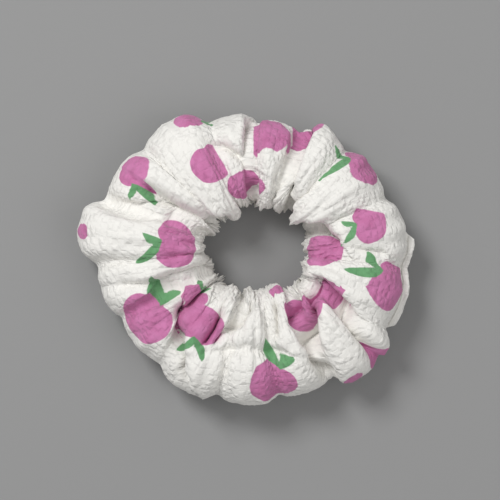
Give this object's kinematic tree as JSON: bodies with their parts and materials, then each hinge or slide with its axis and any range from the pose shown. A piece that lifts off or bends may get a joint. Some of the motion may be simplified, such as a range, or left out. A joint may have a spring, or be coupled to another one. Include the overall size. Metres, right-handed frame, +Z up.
{
  "type": "hair scrunchie",
  "caption": "Puffed ring of printed crinkle cotton gathered on a loop of flat elastic, with a topstitched closing seam on its outer edge.",
  "frame": {"origin": "centre of the ring's bounding box on the surface that it lies on", "axes": "+Z up along the ring's axis; +X towards the side where the strip's two ends are joined"},
  "size_m": [0.1102, 0.0952, 0.0278],
  "materials": {
    "printed_crinkle_cotton": "matt crinkled cotton, off-white, printed with rose-pink fruit and soft green leaves",
    "flat_elastic": "matt braided white elastic",
    "sewing_thread": "slightly glossy spun polyester thread, white"
  },
  "bodies": {
    "root": {"fabric_cover": "printed_crinkle_cotton", "elastic_band": "flat_elastic", "long_seam_needle_thread": "sewing_thread", "long_seam_bobbin_thread": "sewing_thread", "gap_topstitch_needle_thread": "sewing_thread", "gap_topstitch_bobbin_thread": "sewing_thread", "end_seam_needle_thread": "sewing_thread", "end_seam_bobbin_thread": "sewing_thread", "elastic_join_needle_thread": "sewing_thread", "elastic_join_bobbin_thread": "sewing_thread"}
  },
  "joints": []
}
